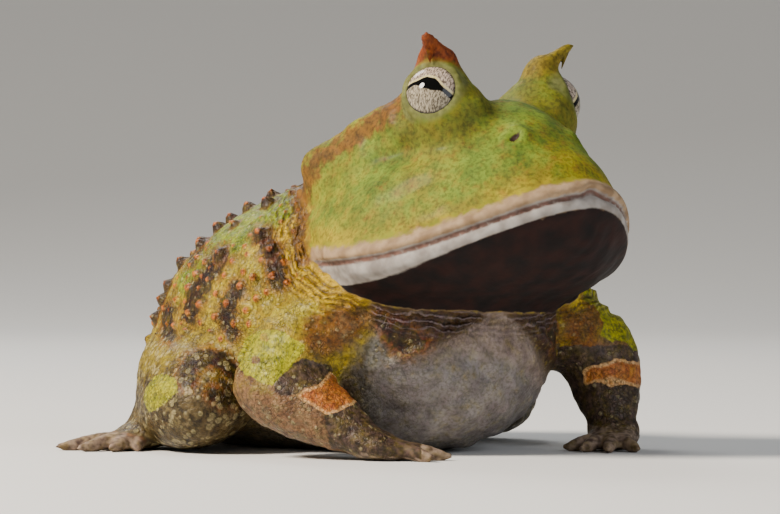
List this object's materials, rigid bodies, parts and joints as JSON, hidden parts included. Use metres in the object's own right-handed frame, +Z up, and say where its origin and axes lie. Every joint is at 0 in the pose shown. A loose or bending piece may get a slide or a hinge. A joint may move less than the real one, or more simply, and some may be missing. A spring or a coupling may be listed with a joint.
{
  "type": "surinam horned frog model",
  "caption": "Life-size still model of a horned frog sitting upright on the floor, wide mouth shut, a pointed horn over each eye.",
  "frame": {"origin": "middle of the frog's outline seen from above, at the floor it sits on", "axes": "+Z up, -Y is the way the frog faces, +X to the frog's left"},
  "size_m": [0.0784, 0.0828, 0.0581],
  "materials": {
    "head_skin": "satin, lightly moist",
    "throat_skin": "satin, wet",
    "body_skin": "satin, granular",
    "limb_skin": "satin, granular",
    "digit_skin": "satin",
    "horn_skin": "satin",
    "eye": "glossy, wet"
  },
  "bodies": {
    "root": {"head": "head_skin", "lower_jaw": "throat_skin", "torso": "body_skin", "eye_right": "eye", "horn_right": "horn_skin", "upper_arm_right": "limb_skin", "forearm_right": "limb_skin", "hand_right": "digit_skin", "thigh_right": "limb_skin", "shank_right": "limb_skin", "foot_right": "digit_skin", "eye_left": "eye", "horn_left": "horn_skin", "upper_arm_left": "limb_skin", "forearm_left": "limb_skin", "hand_left": "digit_skin", "thigh_left": "limb_skin", "shank_left": "limb_skin", "foot_left": "digit_skin"}
  },
  "joints": []
}
